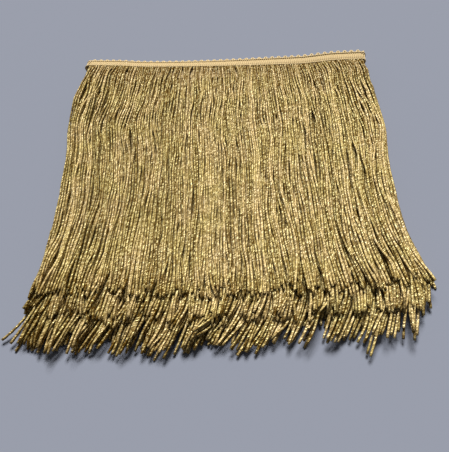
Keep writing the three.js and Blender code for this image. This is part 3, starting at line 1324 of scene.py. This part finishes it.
@dataclass(frozen=True)
class ChainetteFinish:
    """Metallic knitted cord: stitches in wales round the cord, each with painted glints of its
    own.

    The colour goes from dark to body by a depth: high on the stitches, lower by painted shade in
    the grooves between them, near the root, on a cord's flanks and near its cut end. Painted
    glints, lighter colours mixed into the base colour, lie over it.
    """

    dark: tuple[float, float, float] = (0.115, 0.055, 0.003)
    body: tuple[float, float, float] = (0.655, 0.52, 0.18)
    rosy_body: tuple[float, float, float] = (0.69, 0.51, 0.212)
    # Painted highlight colours, mixed into the base colour of the lucky stitches.
    painted_glint: tuple[float, float, float] = (0.80, 0.745, 0.40)
    painted_warm_glint: tuple[float, float, float] = (0.78, 0.665, 0.47)
    wales: float = 3.0
    stitch: float = 0.84
    leg_slant: float = 1.5
    cord_offset: float = 7.0
    cord_seed: float = 531.0
    ridge: float = 0.6
    crown: float = 0.5
    broad_scale: float = 60.0
    fibre_scale: float = 2600.0
    stitch_least: float = 0.02
    stitch_spread: float = 1.05
    fibre_share: float = 0.35
    cord_middle: float = 0.45
    cord_spread: float = 0.45
    # Painted shade near the root, below the heading.
    root_shade: float = 0.38
    root_length: float = 40.0
    # Painted shade on the cords' flanks, where neighbouring cords meet.
    side_shade: float = 0.36
    side_width: float = 3.0
    # Painted shade and fewer painted glints towards the cut end.
    end_from: float = 183.0
    end_length: float = 18.0
    end_shade: float = 0.16
    end_calm: float = 0.8
    patch_contrast: float = 3.5
    patch_tone: float = 0.9
    sparkle: float = 3.0
    # Painted glints: their strength, and the least share of them that the broad noise leaves.
    shine: float = 0.6
    shine_least: float = 0.55
    roughness: float = 0.55
    sparkle_polish: float = 0.22
    metallic: float = 0.38
    specular: float = 0.08
    tilt: float = 0.62
    bump: float = 0.8
    bump_metres: float = 0.00035
    stitch_relief: float = 0.5

    def material(self) -> bpy.types.Material:
        """Builds the material once and returns it again on later calls.

        Returns:
            The cords' material.
        """
        name = "metallic_chainette"
        if name in bpy.data.materials:
            return bpy.data.materials[name]
        material = bpy.data.materials.new(name)
        material.use_nodes = True
        tree = material.node_tree
        shader = tree.nodes["Principled BSDF"]
        stitches = self.stitches(tree)
        sparkle = math(tree, "POWER", stitches.luck, self.sparkle)
        tree.links.new(self.colour(tree, stitches, sparkle), shader.inputs["Base Color"])
        polish = math(tree, "MULTIPLY", sparkle, self.sparkle_polish)
        tree.links.new(math(tree, "SUBTRACT", self.roughness, polish),
                       shader.inputs["Roughness"])
        shader.inputs["Metallic"].default_value = self.metallic
        shader.inputs["Specular IOR Level"].default_value = self.specular
        tree.links.new(self.relief(tree, stitches), shader.inputs["Normal"])
        return material

    def stitches(self, tree: Tree) -> Stitches:
        """Divides the cord into stitches.

        A stitch is a slanted leg: its number is the length over the stitch's, pulled along by
        the distance from the middle of its wale. Its height is the sine across the leg times
        the sine across the wale, both flattened.

        Args:
            tree: the material's nodes.
        Returns:
            The sockets for the colour and the relief.
        """
        turn, length = along_cord(tree)
        tone = own_tone(tree)
        wale = math(tree, "MULTIPLY", turn, self.wales)
        in_wale = math(tree, "FRACT", wale)
        bend = math(tree, "ABSOLUTE", math(tree, "SUBTRACT", in_wale, 0.5))
        along = math(tree, "DIVIDE", length, self.stitch)
        along = math(tree, "ADD", along, math(tree, "MULTIPLY", bend, self.leg_slant))
        along = math(tree, "ADD", along, math(tree, "MULTIPLY", tone, self.cord_offset))
        in_stitch = math(tree, "FRACT", along)
        ridge = math(tree, "SINE", math(tree, "MULTIPLY", in_stitch, np.pi))
        crown = math(tree, "SINE", math(tree, "MULTIPLY", in_wale, np.pi))
        height = math(tree, "MULTIPLY", math(tree, "POWER", ridge, self.ridge),
                      math(tree, "POWER", crown, self.crown))

        cell = node(tree, "ShaderNodeCombineXYZ")
        tree.links.new(math(tree, "FLOOR", wale), cell.inputs[0])
        tree.links.new(math(tree, "FLOOR", along), cell.inputs[1])
        tree.links.new(math(tree, "MULTIPLY", tone, self.cord_seed), cell.inputs[2])
        chance = node(tree, "ShaderNodeTexWhiteNoise", noise_dimensions="3D")
        tree.links.new(cell.outputs[0], chance.inputs["Vector"])
        return Stitches(turn, length, tone, height, chance.outputs["Value"],
                        chance.outputs["Color"], noise(tree, self.broad_scale))

    def depth(self, tree: Tree, stitches: Stitches, at_end: Socket) -> Socket:
        """How far the colour is from the dark to the body.

        The stitch's height times its luck, which paints shade in the grooves between stitches and
        gives each stitch a painted brightness of its own, as facets turned their own ways catch
        the light. Plus the fibres and the cord's own tone, less the painted shades at the root,
        on both flanks and at the end.

        Args:
            tree: the material's nodes.
            stitches: the cord's stitches.
            at_end: 0 on the cord and 1 at its cut end.
        Returns:
            The depth, from 0 to 1.
        """
        # Painted shade in the grooves between stitches, and painted light and shade that differs
        # from stitch to stitch.
        luck = math(tree, "MULTIPLY", stitches.luck, self.stitch_spread)
        depth = math(tree, "MULTIPLY", stitches.height,
                     math(tree, "ADD", luck, self.stitch_least))
        fibre = math(tree, "MULTIPLY", noise(tree, self.fibre_scale), self.fibre_share)
        depth = math(tree, "ADD", depth, fibre)
        own = math(tree, "SUBTRACT", stitches.tone, self.cord_middle)
        depth = math(tree, "ADD", depth, math(tree, "MULTIPLY", own, self.cord_spread))
        # Painted shade near the root, below the heading.
        at_root = math(tree, "DIVIDE", stitches.length, self.root_length)
        at_root = math(tree, "SUBTRACT", 1.0, math(tree, "MINIMUM", at_root, 1.0))
        depth = math(tree, "SUBTRACT", depth, math(tree, "MULTIPLY", at_root, self.root_shade))
        # Painted shade on both flanks, where neighbouring cords shade each other.
        flank = math(tree, "COSINE", math(tree, "MULTIPLY", stitches.turn, 2.0 * np.pi))
        flank = math(tree, "POWER", math(tree, "ABSOLUTE", flank), self.side_width)
        depth = math(tree, "SUBTRACT", depth, math(tree, "MULTIPLY", flank, self.side_shade))
        # Painted shade towards the cut end, whose cords get less light.
        return math(tree, "SUBTRACT", depth, math(tree, "MULTIPLY", at_end, self.end_shade),
                    use_clamp=True)

    def colour(self, tree: Tree, stitches: Stitches, sparkle: Socket) -> Socket:
        """Dark to body by the depth, rosier in patches, with painted glints on the lucky
        stitches.

        Args:
            tree: the material's nodes.
            stitches: the cord's stitches.
            sparkle: how strongly each stitch's painted glints show.
        Returns:
            The colour.
        """
        at_end = math(tree, "SUBTRACT", stitches.length, self.end_from)
        at_end = math(tree, "DIVIDE", at_end, self.end_length, use_clamp=True)
        depth = self.depth(tree, stitches, at_end)
        patch = math(tree, "SUBTRACT", stitches.broad, 0.5)
        patch = math(tree, "MULTIPLY", patch, self.patch_contrast)
        own = math(tree, "MULTIPLY", stitches.tone, self.patch_tone)
        patch = math(tree, "ADD", patch, own, use_clamp=True)
        body = mix_colour(tree, patch, self.body, self.rosy_body)
        colour = mix_colour(tree, depth, self.dark, body)

        # Painted highlight: the lucky stitches' colour is drawn towards the pale highlight
        # colours.
        painted_glint_mask = math(tree, "MULTIPLY", sparkle,
                     math(tree, "MULTIPLY", stitches.height, self.shine))
        painted_glint_mask = math(tree, "MULTIPLY", painted_glint_mask,
                     math(tree, "ADD", stitches.broad, self.shine_least))
        # The painted glints fade towards the cut end as well.
        calm = math(tree, "SUBTRACT", 1.0, math(tree, "MULTIPLY", at_end, self.end_calm))
        painted_glint_mask = math(tree, "MULTIPLY", painted_glint_mask, calm)
        painted_glint = mix_colour(tree, stitches.tone, self.painted_glint, self.painted_warm_glint)
        return mix_colour(tree, math(tree, "MINIMUM", painted_glint_mask, 1.0), colour, painted_glint)

    def relief(self, tree: Tree, stitches: Stitches) -> Socket:
        """The bump of the stitches over faces that each stitch tilts its own way.

        A tilted normal is the surface's plus a share of a random vector, at length 1.

        Args:
            tree: the material's nodes.
            stitches: the cord's stitches.
        Returns:
            The normal.
        """
        centred = node(tree, "ShaderNodeVectorMath", operation="SUBTRACT")
        tree.links.new(stitches.chances, centred.inputs[0])
        centred.inputs[1].default_value = (0.5, 0.5, 0.5)
        scaled = node(tree, "ShaderNodeVectorMath", operation="SCALE")
        tree.links.new(centred.outputs[0], scaled.inputs[0])
        scaled.inputs["Scale"].default_value = self.tilt
        added = node(tree, "ShaderNodeVectorMath", operation="ADD")
        surface = node(tree, "ShaderNodeNewGeometry")
        tree.links.new(surface.outputs["Normal"], added.inputs[0])
        tree.links.new(scaled.outputs[0], added.inputs[1])
        tilted = node(tree, "ShaderNodeVectorMath", operation="NORMALIZE")
        tree.links.new(added.outputs[0], tilted.inputs[0])

        bump = node(tree, "ShaderNodeBump")
        bump.inputs["Strength"].default_value = self.bump
        bump.inputs["Distance"].default_value = self.bump_metres
        luck = math(tree, "MULTIPLY", stitches.luck, self.stitch_relief)
        tree.links.new(math(tree, "ADD", stitches.height, luck), bump.inputs["Height"])
        tree.links.new(tilted.outputs[0], bump.inputs["Normal"])
        return bump.outputs[0]


@dataclass(frozen=True)
class BraidFinish:
    """Matte braid thread: pale tan gold, with fine twist along each thread and painted shade
    between its plies.
    """

    dark: tuple[float, float, float] = (0.20, 0.13, 0.045)
    body: tuple[float, float, float] = (0.64, 0.48, 0.235)
    twists_per_mm: float = 1.6
    plies: float = 2.0
    ply_share: float = 0.55
    fibre_scale: float = 1800.0
    fibre_share: float = 0.7
    tone_spread: float = 1.1
    tone_least: float = 0.35
    roughness: float = 0.7
    metallic: float = 0.08
    bump: float = 0.6
    bump_metres: float = 0.0002

    def material(self) -> bpy.types.Material:
        """Builds the material: plies are sines of the length plus the turn round a thread,
        painted darker between them as shade.

        Returns:
            The braid's material.
        """
        material = bpy.data.materials.new("matte_braid")
        material.use_nodes = True
        tree = material.node_tree
        shader = tree.nodes["Principled BSDF"]
        turn, length = along_cord(tree)
        twist = math(tree, "ADD", math(tree, "MULTIPLY", length, self.twists_per_mm),
                     math(tree, "MULTIPLY", turn, self.plies))
        ply = math(tree, "SINE", math(tree, "MULTIPLY", math(tree, "FRACT", twist), np.pi))
        fibre = math(tree, "MULTIPLY", noise(tree, self.fibre_scale), self.fibre_share)
        # Painted shade: darker in the grooves between the plies.
        lightness = math(tree, "ADD", math(tree, "MULTIPLY", ply, self.ply_share), fibre)
        # The tape's low tone, applied here, is painted shade between the wrap threads.
        own = math(tree, "MULTIPLY", own_tone(tree), self.tone_spread)
        lightness = math(tree, "MULTIPLY", lightness, math(tree, "ADD", own, self.tone_least))
        lightness = math(tree, "MINIMUM", lightness, 1.0)
        colour = mix_colour(tree, lightness, self.dark, self.body)
        tree.links.new(colour, shader.inputs["Base Color"])
        shader.inputs["Roughness"].default_value = self.roughness
        shader.inputs["Metallic"].default_value = self.metallic
        bump = node(tree, "ShaderNodeBump")
        bump.inputs["Strength"].default_value = self.bump
        bump.inputs["Distance"].default_value = self.bump_metres
        tree.links.new(ply, bump.inputs["Height"])
        tree.links.new(bump.outputs[0], shader.inputs["Normal"])
        return material


@dataclass(frozen=True)
class TableFinish:
    """A plain pale blue-grey table top."""

    colour: tuple[float, float, float] = (0.163, 0.173, 0.206)
    roughness: float = 0.8
    specular: float = 0.05

    def material(self) -> bpy.types.Material:
        """Builds the material.

        Returns:
            The table top's material.
        """
        material = bpy.data.materials.new("table_top")
        material.use_nodes = True
        shader = material.node_tree.nodes["Principled BSDF"]
        shader.inputs["Base Color"].default_value = (*self.colour, 1.0)
        shader.inputs["Roughness"].default_value = self.roughness
        shader.inputs["Specular IOR Level"].default_value = self.specular
        return material


# The studio

@dataclass
class Studio:
    """Table, soft light and the camera at the photograph's angle, in the trim's lines."""

    camera_at: tuple[float, float, float] = (25.2, -338.4, 292.3)
    camera_ahead: tuple[float, float, float] = (-0.0615, 0.5345, -0.8429)
    camera_up: tuple[float, float, float] = (0.0145, 0.8449, 0.5347)
    clip_start: float = 0.01
    focal_px: float = 540.0
    frame_px: float = 452.0
    sensor: float = 36.0
    table_size: float = 6000.0
    window_at: tuple[float, float, float] = (0.10, 1.35, 1.80)
    window_degrees: float = 26.0
    window_strength: float = 7.05
    room_colour: tuple[float, float, float] = (0.95, 0.97, 1.0)
    room_strength: float = 0.16

    def camera(self) -> None:
        """Sets the camera from its place, its way ahead and its focal length in pixels."""
        data = bpy.data.cameras.new("camera")
        data.sensor_width = self.sensor
        data.lens = self.focal_px * self.sensor / self.frame_px
        data.clip_start = self.clip_start
        camera = bpy.data.objects.new("camera", data)
        ahead = Vector(self.camera_ahead).normalized()
        right = ahead.cross(Vector(self.camera_up)).normalized()
        up = right.cross(ahead)
        turn = Matrix((right, up, -ahead)).transposed().to_4x4()
        place = Vector(np.array(self.camera_at) * MM + trim_origin())
        camera.matrix_world = Matrix.Translation(place) @ turn
        bpy.context.scene.collection.objects.link(camera)
        bpy.context.scene.camera = camera

    def table(self) -> None:
        """Lays the table top just under the trim."""
        half = self.table_size / 2.0 * MM
        mesh = bpy.data.meshes.new("table_top")
        corners = [(-half, -half, 0.0), (half, -half, 0.0), (half, half, 0.0), (-half, half, 0.0)]
        mesh.from_pydata(corners, [], [(0, 1, 2, 3)])
        table = bpy.data.objects.new("table_top", mesh)
        table.data.materials.append(TableFinish().material())
        bpy.context.scene.collection.objects.link(table)

    def window(self) -> None:
        """A wide soft light behind the trim, far off and a little to the right."""
        data = bpy.data.lights.new("window", "SUN")
        data.angle = np.radians(self.window_degrees)
        data.energy = self.window_strength
        lamp = bpy.data.objects.new("window", data)
        place = Vector(self.window_at)
        turn = (-place).to_track_quat("-Z", "Y").to_matrix().to_4x4()
        lamp.matrix_world = Matrix.Translation(place) @ turn
        bpy.context.scene.collection.objects.link(lamp)

    def room(self) -> None:
        """An even, pale light from all around, and colours shown as they are."""
        world = bpy.data.worlds.new("room")
        world.use_nodes = True
        room = world.node_tree.nodes["Background"]
        room.inputs["Color"].default_value = (*self.room_colour, 1.0)
        room.inputs["Strength"].default_value = self.room_strength
        bpy.context.scene.world = world
        bpy.context.scene.view_settings.view_transform = "Standard"

    def build(self) -> None:
        """Sets up everything round the trim."""
        self.camera()
        self.table()
        self.window()
        self.room()


def main() -> None:
    """Builds the scene: the studio, the heading, then the cords from the table up."""
    logging.basicConfig(level=logging.INFO, format="%(message)s")
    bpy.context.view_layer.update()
    Studio().build()
    heading = Heading()
    heading.build()
    bed = CordBed()
    finish = ChainetteFinish()
    for layer in LAYERS:
        Skirt(layer, bed, heading).build(finish)
        log.info("pile after %s: %.1f mm at most", layer.node, bed.pile.heights.max())


if __name__ == "__main__":
    main()
